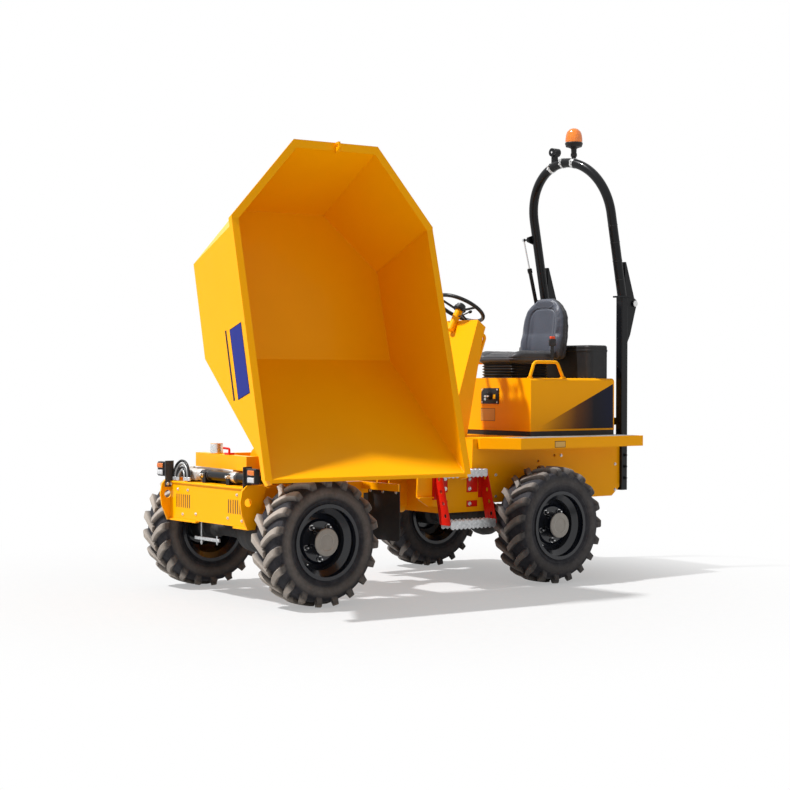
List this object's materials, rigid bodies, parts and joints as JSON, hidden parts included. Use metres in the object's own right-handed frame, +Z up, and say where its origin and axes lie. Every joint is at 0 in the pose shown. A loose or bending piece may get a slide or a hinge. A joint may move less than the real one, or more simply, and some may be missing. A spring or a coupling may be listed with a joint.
{
  "type": "swivel-skip site dumper",
  "caption": "Articulated four-wheel site dumper with a skip that swivels and tips, open driver's seat, folding roll-over hoop and beacon.",
  "frame": {"origin": "on the ground, on the centreline, straight below the vertical articulation pin", "axes": "+X forward, +Y to the driver's left, +Z up"},
  "size_m": [3.546, 1.9604, 3.1013],
  "materials": {
    "black_paint": "satin",
    "black_plastic": "matte",
    "cast_steel": "matte",
    "chrome_rod": "polished",
    "engine_alloy": "matte",
    "flap_rubber": "matte",
    "lens_plastic": "gloss",
    "red_paint": "satin",
    "seat_vinyl": "matte",
    "tyre_rubber": "matte",
    "yellow_paint": "satin"
  },
  "bodies": {
    "rear_chassis": {"rear_frame": "yellow_paint", "rear_axle": "cast_steel", "engine": "engine_alloy", "engine_cover": "yellow_paint", "cover_seal": "flap_rubber", "deck": "yellow_paint", "console": "yellow_paint", "seat_base": "flap_rubber", "seat_cushion": "seat_vinyl", "seat_back": "seat_vinyl", "rear_box": "black_plastic", "grab_handles": "yellow_paint", "steps_left": "red_paint", "steps_right": "red_paint", "rops_posts": "black_paint"},
    "knuckle": {"pivot_knuckle": "cast_steel"},
    "front_chassis": {"front_frame": "yellow_paint", "front_axle": "cast_steel", "slew_ring": "cast_steel", "slew_cylinder": "yellow_paint", "front_lamps": "black_plastic", "mud_flaps": "flap_rubber"},
    "steer_barrel": {"steering_ram_barrel": "black_paint"},
    "steer_rod": {"steering_ram_rod": "chrome_rod"},
    "slew_platform": {"turntable": "yellow_paint", "swivel_lock": "red_paint"},
    "skip_body": {"skip": "yellow_paint"},
    "tip_barrel": {"tip_ram_barrel": "black_paint"},
    "tip_rod": {"tip_ram_rod": "chrome_rod"},
    "hoop": {"rops_hoop": "black_paint", "beacon_base": "black_plastic", "beacon_lens": "lens_plastic", "work_lamp": "black_paint"},
    "strut_barrel": {"gas_strut_barrel": "black_paint"},
    "strut_rod": {"gas_strut_rod": "chrome_rod"},
    "helm": {"steering_wheel": "black_plastic"},
    "wheel_front_left": {"tyre_front_left": "tyre_rubber", "rim_front_left": "black_paint"},
    "wheel_front_right": {"tyre_front_right": "tyre_rubber", "rim_front_right": "black_paint"},
    "wheel_rear_left": {"tyre_rear_left": "tyre_rubber", "rim_rear_left": "black_paint"},
    "wheel_rear_right": {"tyre_rear_right": "tyre_rubber", "rim_rear_right": "black_paint"}
  },
  "joints": [
    {"name": "oscillation", "type": "hinge", "parent": "rear_chassis", "child": "knuckle", "pos_m": [-0.25, 0, 0.52], "axis": [1, 0, 0], "range_deg": [-10, 10]},
    {"name": "articulation", "type": "hinge", "parent": "knuckle", "child": "front_chassis", "pos_m": [0, 0, 0.52], "axis": [0, 0, 1], "range_deg": [-35, 35]},
    {"name": "steering_ram_swing", "type": "hinge", "parent": "knuckle", "child": "steer_barrel", "pos_m": [-0.104, -0.144, 0.52], "axis": [0, 0, 1], "range_deg": [-26.28, 26.28]},
    {"name": "steering_ram_stroke", "type": "slide", "parent": "steer_barrel", "child": "steer_rod", "axis": [0.9991, -0.0421, 0], "range_m": [-0.0913, 0.0913]},
    {"name": "skip_swivel", "type": "hinge", "parent": "front_chassis", "child": "slew_platform", "pos_m": [0.649, 0, 0.742], "axis": [0, 0, 1], "range_deg": [-174, 6]},
    {"name": "skip_tip", "type": "hinge", "parent": "slew_platform", "child": "skip_body", "pos_m": [0.70649, 0.54699, 1.065], "axis": [-0.9945, 0.1045, 0], "range_deg": [-74.1, 0]},
    {"name": "tip_ram_swing", "type": "hinge", "parent": "slew_platform", "child": "tip_barrel", "pos_m": [0.64795, -0.00995, 0.56], "axis": [-0.9945, 0.1045, 0], "range_deg": [-0.4, 1.12]},
    {"name": "tip_ram_stroke", "type": "slide", "parent": "tip_barrel", "child": "tip_rod", "axis": [0.063, 0.5991, 0.7982], "range_m": [-0.2001, 0.002]},
    {"name": "rops_fold", "type": "hinge", "parent": "rear_chassis", "child": "hoop", "pos_m": [-2.08, 0, 1.86], "axis": [0, -1, 0], "range_deg": [0, 100]},
    {"name": "gas_strut_swing", "type": "hinge", "parent": "rear_chassis", "child": "strut_barrel", "pos_m": [-2.008, -0.46, 1.74], "axis": [0, -1, 0], "range_deg": [-0.4, 81.95]},
    {"name": "gas_strut_stroke", "type": "slide", "parent": "strut_barrel", "child": "strut_rod", "axis": [0.2655, 0, 0.9641], "range_m": [-0.002, 0.0516]},
    {"name": "steering_wheel_turn", "type": "hinge", "parent": "rear_chassis", "child": "helm", "pos_m": [-0.835, 0, 1.805], "axis": [-0.5, 0, 0.866], "continuous": true},
    {"name": "wheel_roll_front_left", "type": "hinge", "parent": "front_chassis", "child": "wheel_front_left", "pos_m": [0.797, 0.626, 0.38], "axis": [0, 1, 0], "continuous": true},
    {"name": "wheel_roll_front_right", "type": "hinge", "parent": "front_chassis", "child": "wheel_front_right", "pos_m": [0.797, -0.626, 0.38], "axis": [0, 1, 0], "continuous": true},
    {"name": "wheel_roll_rear_left", "type": "hinge", "parent": "rear_chassis", "child": "wheel_rear_left", "pos_m": [-1.06, 0.626, 0.38], "axis": [0, 1, 0], "continuous": true},
    {"name": "wheel_roll_rear_right", "type": "hinge", "parent": "rear_chassis", "child": "wheel_rear_right", "pos_m": [-1.06, -0.626, 0.38], "axis": [0, 1, 0], "continuous": true}
  ],
  "couplings": [
    {"joint": "steering_ram_swing", "follows": "articulation", "ratio": 0.74023},
    {"joint": "steering_ram_stroke", "follows": "articulation", "m_per_rad": 0.14738},
    {"joint": "tip_ram_swing", "follows": "skip_tip", "ratio": -0.00977},
    {"joint": "tip_ram_stroke", "follows": "skip_tip", "m_per_rad": 0.15321},
    {"joint": "gas_strut_swing", "follows": "rops_fold", "ratio": 0.81551},
    {"joint": "gas_strut_stroke", "follows": "rops_fold", "m_per_rad": 0.028418}
  ]
}
